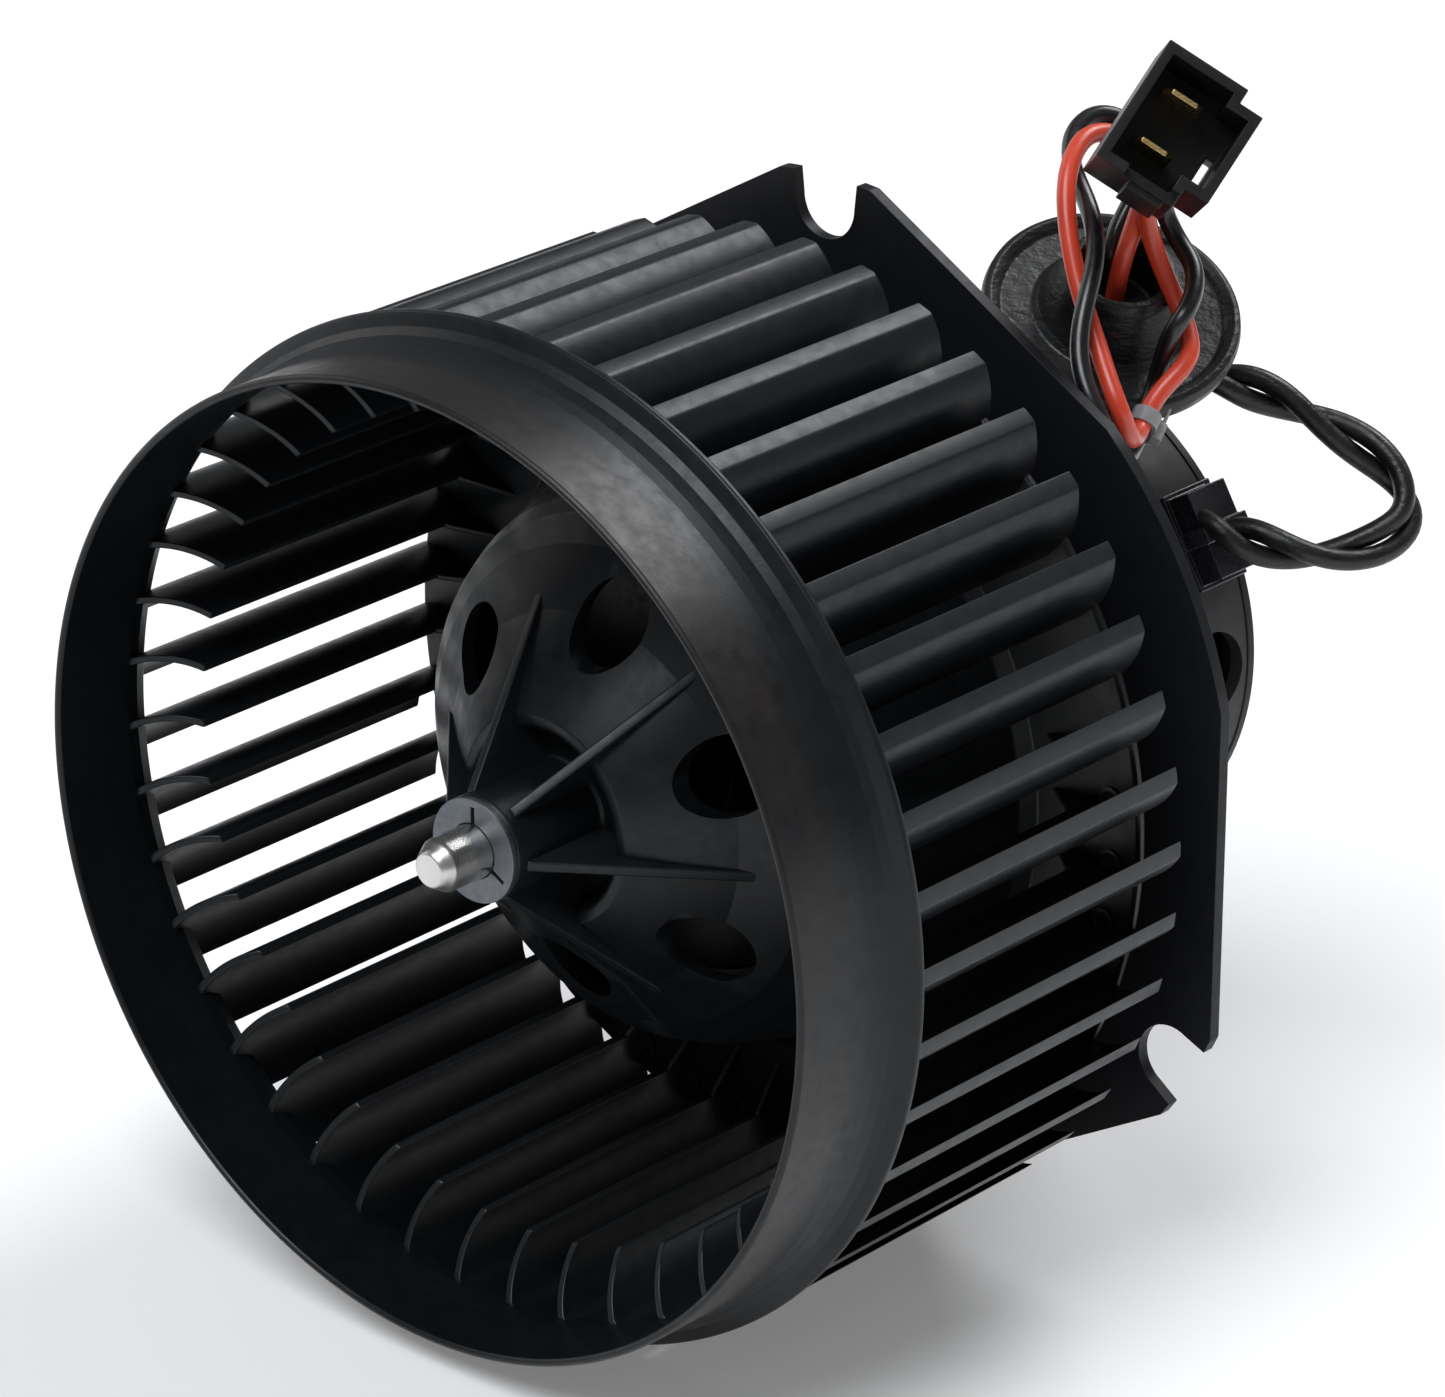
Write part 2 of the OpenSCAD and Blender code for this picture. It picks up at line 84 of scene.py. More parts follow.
# Routes in millimetres in the part's own frame, the same as in part.scad.
RED_ROUTE = [
    (25.6, 34.2, 56.2), (27.2, 33, 60.8), (29, 32, 66), (29.5, 34, 71),
    (29, 37.5, 75.5), (27, 39, 80.5), (24, 36, 83.5), (23, 30.5, 84.5),
    (24.5, 25, 82), (26.5, 21.5, 78), (29.5, 19, 72.5), (33, 17, 66.5),
    (38, 15, 60.5), (43, 12, 56), (46, 11, 52.5), (45.5, 14, 47.5),
    (42, 20, 45.5), (40.5, 25, 49.5), (42, 28.5, 52.5), (42.5, 32, 55),
    (38.8, 34.9, 58), (34.9, 35.4, 63), (31.9, 34.9, 69),
    (31.5, 33.5, 74.5), (33.5, 31.6, 79.5), (36, 30.5, 84.5),
]
BLACK_ROUTE = [
    (24, 37.2, 57), (24, 35.6, 61), (25.4, 33.4, 65.2), (25, 36, 69.5),
    (25, 40.5, 73.5), (24.5, 43.5, 78), (22, 42, 83.5), (18.5, 38, 85),
    (18, 33, 82.5), (21.5, 29, 79), (28, 25.5, 76), (34.5, 19.5, 72),
    (37, 14, 67.5), (38.5, 10, 62), (41.5, 7.5, 57.5), (45, 6.5, 54),
    (46, 8.5, 49.5), (44.2, 13, 43.6), (40.5, 20.5, 42.2),
    (38.5, 26, 46), (37.5, 30.5, 51), (40, 29, 58), (41.5, 31, 61),
    (40.5, 34.5, 63.5), (38, 37.5, 66), (34.5, 38.5, 68),
    (32.5, 38.5, 70.5), (31.5, 38, 73), (32, 37.5, 76.5),
    (33, 36, 80.5), (35.5, 34.5, 87.5),
]
PAIR_ROUTE = [
    (37, 41.6, 23.6), (40, 42.4, 24.4), (43.5, 43.8, 23.6),
    (49.5, 47.5, 21), (55.5, 54.5, 20.3), (60, 64.5, 23.5),
    (55, 66.5, 30), (48, 63, 35), (41.5, 59.5, 38.5), (36.5, 55, 42),
    (32, 51, 43.5), (28.5, 47.5, 43), (25, 42, 44), (22.6, 39.4, 47.6),
    (22.2, 38.4, 50.2),
]
LEAD_D = 2.8 * MM
SLEEVE_D = 3.2 * MM
PAIR_HALF = 1.68 * MM
PAIR_TURNS = 3.1
PAIR_PER_SPAN = 9
TWIST_REF = Vector((-0.61, 0.69, -0.39))


def route_curve(route, per_span=6):
    """Uniform cubic B-spline along a route, in metres."""
    pts = [Vector(p) * MM for p in route]
    pts = [2 * pts[0] - pts[1]] + pts + [2 * pts[-1] - pts[-2]]
    out = []
    spans = len(route) - 1
    for i in range(spans * per_span + 1):
        k = min(i // per_span, spans - 1)
        t = i / per_span - k
        a, b, c, d = pts[k:k + 4]
        out.append((a * (1 - t) ** 3 + b * (3 * t ** 3 - 6 * t * t + 4)
                    + c * (-3 * t ** 3 + 3 * t * t + 3 * t + 1)
                    + d * t ** 3) / 6)
    return out


def strand(points, side):
    """One of two leads twisted round each other along a middle line."""
    out = []
    last = len(points) - 1
    for i, p in enumerate(points):
        along = points[min(i + 1, last)] - points[max(i - 1, 0)]
        along.normalize()
        u = along.cross(TWIST_REF).normalized()
        v = along.cross(u)
        a = 2 * math.pi * PAIR_TURNS * i / last
        out.append(p + side * PAIR_HALF * (math.cos(a) * u + math.sin(a) * v))
    return out


def cord_curve(name, points, diameter):
    """A round cord along the points."""
    data = bpy.data.curves.new(name, "CURVE")
    data.dimensions = "3D"
    data.bevel_depth = diameter / 2
    data.bevel_resolution = 5
    data.use_fill_caps = True
    spline = data.splines.new("POLY")
    spline.points.add(len(points) - 1)
    for item, p in zip(spline.points, points):
        item.co = (*p, 1.0)
    spline.use_smooth = True
    obj = bpy.data.objects.new(name, data)
    scene.collection.objects.link(obj)
    return obj


pair_line = route_curve(PAIR_ROUTE, PAIR_PER_SPAN)
red_line = route_curve(RED_ROUTE)
black_line = route_curve(BLACK_ROUTE)
sleeve_a_line = strand(pair_line, 1)
sleeve_b_line = strand(pair_line, -1)
red_lead = cord_curve("red_lead", red_line, LEAD_D)
black_lead = cord_curve("black_lead", black_line, LEAD_D)
sleeved_lead_a = cord_curve("sleeved_lead_a", sleeve_a_line, SLEEVE_D)
sleeved_lead_b = cord_curve("sleeved_lead_b", sleeve_b_line, SLEEVE_D)


# ---------------------------------------------------------------- mesh tools

WELD = 2e-6
SHARP = math.radians(46)
FLAT = math.radians(0.4)
EDGE_SEGMENTS = 2


def world(x, y, z):
    """From millimetres about the shaft, z towards the open eye, to metres."""
    return Vector((x, -z, y)) * MM


def put(name, verts, faces, ready=False):
    """A mesh object; ready means that the corners are already in metres."""
    mesh = bpy.data.meshes.new(name)
    mesh.from_pydata([v if ready else world(*v) for v in verts], [], faces)
    mesh.update()
    obj = bpy.data.objects.new(name, mesh)
    scene.collection.objects.link(obj)
    bm = bmesh.new()
    bm.from_mesh(mesh)
    bmesh.ops.recalc_face_normals(bm, faces=bm.faces)
    bm.to_mesh(mesh)
    bm.free()
    return obj


def rounded(outline, radius, steps=3):
    """The closed outline with each corner turned into an arc."""
    out = []
    count = len(outline)
    for i in range(count):
        p = Vector(outline[i])
        a = Vector(outline[i - 1]) - p
        b = Vector(outline[(i + 1) % count]) - p
        la, lb = a.length, b.length
        a.normalize()
        b.normalize()
        cosine = max(-1.0, min(1.0, a.dot(b)))
        half = math.acos(cosine) / 2
        if half > math.radians(87) or half < math.radians(5):
            out.append(tuple(p))
            continue
        cut = min(radius / math.tan(half), 0.45 * la, 0.45 * lb)
        r = cut * math.tan(half)
        centre = p + (a + b).normalized() * (r / math.sin(half))
        start, end = p + a * cut, p + b * cut
        s, e = start - centre, end - centre
        turn = math.pi - 2 * half
        for k in range(steps + 1):
            t = k / steps
            w = (math.sin((1 - t) * turn) * s + math.sin(t * turn) * e)
            out.append(tuple(centre + w / math.sin(turn)))
    return out


def turned_faces(n, around):
    """Faces of a closed outline of n points that is turned a full circle."""
    faces = []
    for k in range(around):
        m = (k + 1) % around
        for i in range(n):
            j = (i + 1) % n
            faces.append((k * n + i, k * n + j, m * n + j, m * n + i))
    return faces


def lathe(name, outline, around):
    """A closed (radius, z) outline turned about the shaft."""
    verts = []
    for k in range(around):
        a = 2 * math.pi * k / around
        for r, z in outline:
            verts.append((r * math.cos(a), r * math.sin(a), z))
    return put(name, verts, turned_faces(len(outline), around))


def prism(name, outline, thickness, place):
    """A flat outline given a thickness, each corner put by place(u, v, w)."""
    n = len(outline)
    verts = [place(u, v, w) for w in (-thickness / 2, thickness / 2)
             for u, v in outline]
    faces = [tuple(range(n)), tuple(range(2 * n - 1, n - 1, -1))]
    faces += [(i, (i + 1) % n, n + (i + 1) % n, n + i) for i in range(n)]
    return put(name, verts, faces)


def evaluated(obj):
    """The object's mesh with its modifiers applied."""
    bpy.context.view_layer.update()
    graph = bpy.context.evaluated_depsgraph_get()
    fresh = bpy.data.meshes.new_from_object(obj.evaluated_get(graph))
    old = obj.data
    obj.modifiers.clear()
    obj.data = fresh
    bpy.data.meshes.remove(old)
    return obj


def cut_away(obj, tool):
    """The object without the space of the tool, which is used up."""
    mod = obj.modifiers.new("cut", "BOOLEAN")
    mod.operation = "DIFFERENCE"
    mod.solver = "EXACT"
    mod.object = tool
    evaluated(obj)
    bpy.data.objects.remove(tool)
    return obj


def soften(obj, width, angle=32):
    """Small round edges, and normals that keep the flats flat."""
    bm = bmesh.new()
    bm.from_mesh(obj.data)
    bmesh.ops.remove_doubles(bm, verts=bm.verts, dist=WELD)
    bm.to_mesh(obj.data)
    bm.free()
    if width:
        mod = obj.modifiers.new("edge", "BEVEL")
        mod.width = width * MM
        mod.segments = EDGE_SEGMENTS
        mod.limit_method = "ANGLE"
        mod.angle_limit = math.radians(angle)
        mod.use_clamp_overlap = True
        evaluated(obj)
    bm = bmesh.new()
    bm.from_mesh(obj.data)
    for e in bm.edges:
        e.smooth = not (len(e.link_faces) == 2
                        and e.calc_face_angle(0) > SHARP)
    for f in bm.faces:
        f.smooth = True
    bm.to_mesh(obj.data)
    bm.free()
    mod = obj.modifiers.new("normals", "WEIGHTED_NORMAL")
    mod.keep_sharp = True
    mod.weight = 60
    evaluated(obj)
    return obj


def join(name, parts):
    """The parts as one object."""
    target = parts[0]
    with bpy.context.temp_override(active_object=target,
                                   selected_editable_objects=parts,
                                   selected_objects=parts):
        bpy.ops.object.join()
    target.name = name
    target.data.name = name
    return target


def refined(name, node, width):
    """A finer copy of a CAD node, with round edges."""
    mesh = nodes[node].data.copy()
    obj = bpy.data.objects.new(name, mesh)
    scene.collection.objects.link(obj)
    obj.data.materials.clear()
    bm = bmesh.new()
    bm.from_mesh(mesh)
    bmesh.ops.remove_doubles(bm, verts=bm.verts, dist=WELD)
    bmesh.ops.dissolve_limit(bm, angle_limit=FLAT,
                             verts=bm.verts, edges=bm.edges)
    bm.to_mesh(mesh)
    bm.free()
    return soften(obj, width)


# ---------------------------------------------------------------- materials

def material(name):
    """An empty principled material, with its tree and its shader."""
    mat = bpy.data.materials.new(name)
    mat.use_nodes = True
    tree = mat.node_tree
    tree.nodes.clear()
    out = tree.nodes.new("ShaderNodeOutputMaterial")
    shader = tree.nodes.new("ShaderNodeBsdfPrincipled")
    tree.links.new(shader.outputs["BSDF"], out.inputs["Surface"])
    return mat, tree, shader


def coords(tree, stretch=(1, 1, 1)):
    """The object's own coordinates, in metres."""
    source = tree.nodes.new("ShaderNodeTexCoord")
    mapping = tree.nodes.new("ShaderNodeMapping")
    mapping.inputs["Scale"].default_value = stretch
    tree.links.new(source.outputs["Object"], mapping.inputs["Vector"])
    return mapping.outputs["Vector"]


def noise(tree, vector, scale, detail=4.0, rough=0.55):
    node = tree.nodes.new("ShaderNodeTexNoise")
    node.inputs["Scale"].default_value = scale
    node.inputs["Detail"].default_value = detail
    node.inputs["Roughness"].default_value = rough
    tree.links.new(vector, node.inputs["Vector"])
    return node.outputs["Fac"]


def spread(tree, value, low, high, out_low, out_high):
    """The value's range from low to high, mapped to another range."""
    node = tree.nodes.new("ShaderNodeMapRange")
    for key, number in (("From Min", low), ("From Max", high),
                        ("To Min", out_low), ("To Max", out_high)):
        node.inputs[key].default_value = number
    tree.links.new(value, node.inputs["Value"])
    return node.outputs["Result"]


def two_tone(tree, factor, first, second):
    node = tree.nodes.new("ShaderNodeMix")
    node.data_type = "RGBA"
    node.inputs["A"].default_value = (*first, 1)
    node.inputs["B"].default_value = (*second, 1)
    tree.links.new(factor, node.inputs["Factor"])
    return node.outputs["Result"]


def relief(tree, height, shader, strength, distance, before=None):
    """A bump on the shader, on top of an earlier one if there is one."""
    node = tree.nodes.new("ShaderNodeBump")
    node.inputs["Strength"].default_value = strength
    node.inputs["Distance"].default_value = distance
    tree.links.new(height, node.inputs["Height"])
    if before is not None:
        tree.links.new(before, node.inputs["Normal"])
    tree.links.new(node.outputs["Normal"], shader.inputs["Normal"])
    return node.outputs["Normal"]


def moulded(name, dark, light, rough, grain=2200, depth=0.00004,
            strength=0.25, specular=0.5, patch=38, coat=0.0):
    """Moulded plastic: tone patches, uneven sheen, fine grain, pale edges (a painted edge
    highlight, partly edge wear).
    """
    mat, tree, shader = material(name)
    vector = coords(tree)
    cloud = noise(tree, vector, patch, 5, 0.6)
    fleck = noise(tree, vector, patch * 14, 3, 0.6)
    tone = spread(tree, cloud, 0.32, 0.68, 0.0, 1.0)
    base = two_tone(tree, tone, dark, light)
    # Convex edges, found by pointiness, are mixed towards a much paler colour: a painted
    # edge highlight, partly edge wear.
    edge = tree.nodes.new("ShaderNodeNewGeometry")
    edge_highlight_and_wear = spread(tree, edge.outputs["Pointiness"], 0.515, 0.60, 0.0, 0.35)
    pale = tree.nodes.new("ShaderNodeMix")
    pale.data_type = "RGBA"
    pale.inputs["B"].default_value = (*[min(1, 2.2 * c + 0.02)
                                        for c in light], 1)
    tree.links.new(base, pale.inputs["A"])
    tree.links.new(edge_highlight_and_wear, pale.inputs["Factor"])
    tree.links.new(pale.outputs["Result"], shader.inputs["Base Color"])
    sheen = spread(tree, fleck, 0.3, 0.7, rough - 0.06, rough + 0.07)
    tree.links.new(sheen, shader.inputs["Roughness"])
    shader.inputs["Specular IOR Level"].default_value = specular
    shader.inputs["Coat Weight"].default_value = coat
    shader.inputs["Coat Roughness"].default_value = 0.25
    height = noise(tree, vector, grain, 2, 0.5)
    relief(tree, height, shader, strength, depth)
    return mat


def rubbery(name, dark, light, rough, wrinkle=0.35, scale=420):
    """Soft rubber: dusty bloom, wrinkles and a broad sheen."""
    mat, tree, shader = material(name)
    vector = coords(tree)
    cloud = noise(tree, vector, 90, 6, 0.65)
    base = two_tone(tree, spread(tree, cloud, 0.42, 0.66, 0, 1), dark, light)
    tree.links.new(base, shader.inputs["Base Color"])
    tree.links.new(spread(tree, noise(tree, vector, 260, 4), 0.3, 0.7,
                          rough - 0.1, rough + 0.12),
                   shader.inputs["Roughness"])
    shader.inputs["Specular IOR Level"].default_value = 0.5
    fold = noise(tree, coords(tree, (1, 1, 2.2)), scale, 3, 0.6)
    first = relief(tree, fold, shader, wrinkle, 0.0005)
    relief(tree, noise(tree, vector, 3000, 2), shader, 0.2, 0.00003, first)
    return mat


def wire_skin(name, dark, light, rough, coat=0.25):
    """Extruded insulation: slight tone drift, tiny marks, glossy skin."""
    mat, tree, shader = material(name)
    vector = coords(tree)
    cloud = noise(tree, vector, 70, 4)
    base = two_tone(tree, spread(tree, cloud, 0.35, 0.65, 0, 1), dark, light)
    tree.links.new(base, shader.inputs["Base Color"])
    tree.links.new(spread(tree, noise(tree, vector, 700, 3), 0.3, 0.75,
                          rough, rough + 0.14), shader.inputs["Roughness"])
    shader.inputs["Coat Weight"].default_value = coat
    shader.inputs["Coat Roughness"].default_value = 0.18
    relief(tree, noise(tree, vector, 520, 3), shader, 0.18, 0.0001)
    return mat


def metal(name, dark, light, rough, stretch=(1, 1, 1), scale=900,
          strength=0.15, patch=60):
    """Metal with a lay of fine marks and some tarnish."""
    mat, tree, shader = material(name)
    vector = coords(tree, stretch)
    plain = coords(tree)
    cloud = noise(tree, plain, patch, 5, 0.62)
    base = two_tone(tree, spread(tree, cloud, 0.35, 0.68, 0, 1), dark, light)
    tree.links.new(base, shader.inputs["Base Color"])
    shader.inputs["Metallic"].default_value = 1.0
    marks = noise(tree, vector, scale, 3, 0.6)
    tree.links.new(spread(tree, marks, 0.3, 0.7, rough - 0.07, rough + 0.1),
                   shader.inputs["Roughness"])
    relief(tree, marks, shader, strength, 0.00003)
    return mat


def product(tree, first, second):
    node = tree.nodes.new("ShaderNodeMath")
    node.operation = "MULTIPLY"
    tree.links.new(first, node.inputs[0])
    tree.links.new(second, node.inputs[1])
    return node.outputs["Value"]


def off_axis(tree):
    """Distance from the shaft's axis."""
    node = tree.nodes.new("ShaderNodeVectorMath")
    node.operation = "LENGTH"
    tree.links.new(coords(tree, (1, 0, 1)), node.inputs[0])
    return node.outputs["Value"]


def along_axis(tree):
    """Place along the shaft, rising towards the motor's rear."""
    node = tree.nodes.new("ShaderNodeSeparateXYZ")
    tree.links.new(coords(tree), node.inputs["Vector"])
    return node.outputs["Y"]


def ring_band_sheen_and_wear(tree):
    """1 on the outside of the front ring's band, in patches: a painted sheen, partly
    handling wear marks.
    """
    outside = spread(tree, off_axis(tree), 0.0712, 0.0718, 0, 1)
    ahead = spread(tree, along_axis(tree), -0.0765, -0.0790, 0, 1)
    sheen_and_wear_patches = spread(tree, noise(tree, coords(tree), 55, 5, 0.65),
                     0.40, 0.62, 0.15, 1.0)
    return product(tree, product(tree, outside, ahead), sheen_and_wear_patches)


def cup_side(tree):
    """1 on the cup, behind the plate that it is moulded with."""
    inside = spread(tree, off_axis(tree), 0.0402, 0.0404, 1, 0)
    behind = spread(tree, along_axis(tree), 0.0024, 0.0027, 0, 1)
    return product(tree, inside, behind)


def tint(mat, colour, where):
    """Another base colour where the function `where` gives 1."""
    tree = mat.node_tree
    shader = next(n for n in tree.nodes if n.type == "BSDF_PRINCIPLED")
    before = shader.inputs["Base Color"].links[0].from_socket
    mix = tree.nodes.new("ShaderNodeMix")
    mix.data_type = "RGBA"
    mix.inputs["B"].default_value = (*colour, 1)
    tree.links.new(before, mix.inputs["A"])
    tree.links.new(where(tree), mix.inputs["Factor"])
    tree.links.new(mix.outputs["Result"], shader.inputs["Base Color"])


# Warmer, paler colour for the ring band's patches: a painted sheen, partly wear marks.
BAND_SHEEN_AND_WEAR = (0.0135, 0.0105, 0.0098)
CUP_GREY = (0.026, 0.026, 0.027)

wheel_black = moulded("wheel_black", (0.0032, 0.0038, 0.0048),
                      (0.0064, 0.0080, 0.0100), 0.36, specular=0.32,
                      patch=30)
tint(wheel_black, BAND_SHEEN_AND_WEAR, ring_band_sheen_and_wear)
plate_black = moulded("plate_black", (0.0025, 0.003, 0.004),
                      (0.005, 0.0055, 0.007), 0.44, specular=0.22,
                      patch=22)
tint(plate_black, CUP_GREY, cup_side)
can_black = moulded("can_black", (0.002, 0.002, 0.0025),
                    (0.005, 0.005, 0.0055), 0.4, specular=0.22, patch=60)
cover_black = moulded("cover_black", (0.003, 0.003, 0.0035),
                      (0.006, 0.006, 0.0065), 0.45, specular=0.25)
plug_black = moulded("plug_black", (0.004, 0.004, 0.0045),
                     (0.009, 0.009, 0.0095), 0.40, grain=3200,
                     specular=0.3, patch=120)
block_black = moulded("block_black", (0.004, 0.004, 0.006),
                      (0.012, 0.012, 0.016), 0.24, grain=1500,
                      strength=0.4, patch=150, coat=0.3)
tie_grey = moulded("tie_grey", (0.16, 0.16, 0.165), (0.24, 0.24, 0.245),
                   0.42, grain=3000, patch=200)
phenolic = moulded("phenolic", (0.10, 0.045, 0.02), (0.16, 0.07, 0.035), 0.5)
red_fibre = moulded("red_fibre", (0.32, 0.05, 0.03), (0.42, 0.08, 0.05), 0.6)
carbon = moulded("carbon", (0.03, 0.03, 0.03), (0.06, 0.06, 0.06), 0.55)
ferrite = moulded("ferrite", (0.05, 0.05, 0.055), (0.09, 0.09, 0.095), 0.5,
                  grain=1400, strength=0.5)
isolator_rubber = rubbery("isolator_rubber", (0.012, 0.012, 0.012),
                          (0.024, 0.024, 0.024), 0.6)
grommet_rubber = rubbery("grommet_rubber", (0.003, 0.003, 0.0035),
                         (0.010, 0.011, 0.012), 0.42, 0.5)
sleeving = rubbery("sleeving", (0.003, 0.003, 0.0035), (0.007, 0.007, 0.0075),
                   0.38, 0.25, 700)
red_skin = wire_skin("red_skin", (0.60, 0.045, 0.018), (0.72, 0.07, 0.03),
                     0.30)
black_skin = wire_skin("black_skin", (0.003, 0.003, 0.004),
                       (0.007, 0.0075, 0.009), 0.26)
bright_steel = metal("bright_steel", (0.62, 0.61, 0.59), (0.70, 0.69, 0.67),
                     0.28, (1, 1, 1), 160, 0.02)
nut_steel = metal("nut_steel", (0.15, 0.162, 0.178), (0.19, 0.203, 0.22),
                  0.5, (1, 1, 1), 900, 0.12, 220)
zinc_plate = metal("zinc_plate", (0.42, 0.42, 0.43), (0.56, 0.56, 0.57),
                   0.38, (1, 1, 1), 500, 0.2)
spring_steel = metal("spring_steel", (0.5, 0.5, 0.5), (0.62, 0.62, 0.62),
                     0.32)
sheet_steel = metal("sheet_steel", (0.28, 0.28, 0.29), (0.4, 0.4, 0.41),
                    0.45, (1, 40, 1), 60, 0.5)
copper = metal("copper", (0.55, 0.22, 0.10), (0.70, 0.32, 0.16), 0.35,
               (1, 1, 1), 1600, 0.6)
brass = metal("brass", (0.62, 0.42, 0.16), (0.80, 0.58, 0.26), 0.28,
              (1, 1, 6), 700, 0.25)
bronze = metal("bronze", (0.42, 0.27, 0.12), (0.54, 0.36, 0.18), 0.5,
               (1, 1, 1), 1200, 0.6)


def dress(obj, mat):
    """The object in one material."""
    obj.data.materials.clear()
    obj.data.materials.append(mat)
    return obj


# ---------------------------------------------------------------- wheel

# In millimetres: outlines are (radius, z), with z towards the open eye.
BLADES = 43
PITCH = 2 * math.pi / BLADES
FIRST = math.radians(101.46)
BLADE_T = 1.1
CURVE = Vector((65.7, 5.25))
CURVE_R = 10.9
INNER_R, OUTER_R = 61.4, 75.45
BLADE_REAR = 10.75
BLADE_POINTS = 22
SEARCH_STEPS = 1200
SEARCH_FROM, SEARCH_TO = math.radians(-125), math.radians(-5)
HEEL_LIMIT = 2.6

FRONT_EDGE = [(61.4, 67.0), (70.9, 73.2), (71.2, 73.0), (72.6, 69.6),
              (74.0, 68.2), (75.5, 66.9)]


def blade_front(r):
    """How far forward the blade reaches at a distance from the shaft."""
    if r <= FRONT_EDGE[0][0]:
        return FRONT_EDGE[0][1]
    for (r0, z0), (r1, z1) in zip(FRONT_EDGE, FRONT_EDGE[1:]):
        if r <= r1:
            return z0 + (z1 - z0) * (r - r0) / (r1 - r0)
    return FRONT_EDGE[-1][1]


def blade_side(offset):
    """Points of one face of the blade's section, from eye to rim."""
    radius = CURVE_R + offset

    def at(angle):
        return CURVE + radius * Vector((math.cos(angle), math.sin(angle)))

    found = []
    for i in range(SEARCH_STEPS + 1):
        a = SEARCH_FROM + (SEARCH_TO - SEARCH_FROM) * i / SEARCH_STEPS
        p = at(a)
        if INNER_R <= p.length <= OUTER_R and p.y < HEEL_LIMIT:
            found.append(a)
    a0, a1 = found[0], found[-1]
    return [at(a0 + (a1 - a0) * k / BLADE_POINTS)
            for k in range(BLADE_POINTS + 1)]


def blade_mesh(index):
    """One blade, its front edge following the ring's lip."""
    outer, inner = blade_side(BLADE_T / 2), blade_side(-BLADE_T / 2)
    loop = outer + inner[::-1]
    turn = FIRST - PITCH * index
    c, s = math.cos(turn), math.sin(turn)
    n = len(loop)
    verts = []
    for level in (0, 1):
        for p in loop:
            z = blade_front(p.length) if level else BLADE_REAR
            verts.append((p.x * c - p.y * s, p.x * s + p.y * c, z))
    half = len(outer)
    faces = [(i, (i + 1) % n, n + (i + 1) % n, n + i) for i in range(n)]
    for k in range(half - 1):
        quad = (k, k + 1, n - 2 - k, n - 1 - k)
        faces.append(quad[::-1])
        faces.append(tuple(n + q for q in quad))
    return put("blade", verts, faces)


RING = [
    (70.7, 86.6), (71.1, 87.0), (71.6, 87.0), (72.0, 86.5), (72.0, 75.5),
    (72.15, 73.5), (72.5, 71.6), (73.1, 69.9), (74.1, 68.8), (75.3, 68.2),
    (76.0, 67.8), (76.1, 67.4), (76.1, 66.9), (75.7, 66.5), (74.9, 66.5),
    (74.2, 67.2), (72.3, 68.6), (71.2, 71.0), (70.8, 73.2), (70.7, 75.5),
]
HUB = [
    (4.02, 50.0), (4.02, 73.2), (7.8, 73.2), (7.8, 56.0), (12.4, 56.0),
    (12.9, 58.6), (14.0, 60.0), (15.6, 59.8), (18.0, 58.0), (22.0, 54.8),
    (27.85, 49.6), (36.0, 44.2),
    (39.6, 41.0), (41.4, 37.2), (43.4, 30.0), (46.4, 20.0), (49.0, 14.2),
    (51.5, 12.8), (69.1, 12.8), (69.5, 12.4), (69.5, 11.4), (69.1, 11.0),
    (51.0, 11.0), (47.2, 12.6), (44.4, 20.0), (41.4, 30.0), (39.4, 36.9),
    (38.0, 39.0), (35.0, 42.2), (27.0, 47.4), (19.0, 53.8), (14.0, 57.0),
    (14.4, 54.0), (9.0, 54.0), (9.0, 50.0),
]
RIB = [(6, 71.3), (8, 71.3), (31, 47.1), (27, 47.9), (14, 57.8),
       (12.5, 55), (6, 55)]
RING_STEPS, HUB_STEPS = 344, 216
RIB_T = 1.6
RIB_FROM_HOLE = math.radians(29.7)
HUB_PARTS = 6
HOLE_FIRST = math.radians(22.7)
HOLE_AT, HOLE_R = 27.85, 5.9
HOLE_POINTS = 48
DRILL_Z, DRILL_LENGTH = 50, 30
MARK = [(0.3, 12.7), (1.5, 12.7), (1.75, 12.95), (1.9, 13.15),
        (1.35, 13.2), (1.2, 12.98), (0.3, 12.95)]
MARK_AT = 64.8
MARK_STEPS = 20
MARK_SHIFT = 0.42
WEB = [(54.2, 12.6), (61.9, 12.6), (61.9, 18.4), (60.8, 18.0)]
WEB_T = 0.9
WEB_TURN = math.radians(4.05)


def around_shaft(angle):
    """Places an outline of (radius, z) in the half plane at an angle."""
    c, s = math.cos(angle), math.sin(angle)
    return lambda u, v, w: (u * c - w * s, u * s + w * c, v)


def hub_hole(index):
    """The drill for one of the hub's holes."""
    a = HOLE_FIRST + index * 2 * math.pi / HUB_PARTS
    x, y = HOLE_AT * math.cos(a), HOLE_AT * math.sin(a)
    disc = [(HOLE_R * math.cos(t), HOLE_R * math.sin(t))
            for t in (2 * math.pi * i / HOLE_POINTS
                      for i in range(HOLE_POINTS))]
    return prism("tool", disc, DRILL_LENGTH,
                 lambda u, v, w: (x + u, y + v, DRILL_Z + w))


def hub_rib(index):
    """One of the ribs from the stem to the dome."""
    a = HOLE_FIRST + RIB_FROM_HOLE + index * 2 * math.pi / HUB_PARTS
    return soften(prism("rib", RIB, RIB_T, around_shaft(a)), 0.3, 40)


def ejector_mark(index):
    """The round mark in one cell of the back plate."""
    a = FIRST - PITCH * (index + MARK_SHIFT)
    mark = lathe("mark", MARK, MARK_STEPS)
    shift = world(MARK_AT * math.cos(a), MARK_AT * math.sin(a), 0)
    mark.data.transform(Matrix.Translation(shift))
    return soften(mark, 0)


def foot_web(index):
    """The small web at the foot of one blade."""
    t = FIRST - PITCH * index - WEB_TURN
    return soften(prism("web", WEB, WEB_T, around_shaft(t)), 0.2, 40)


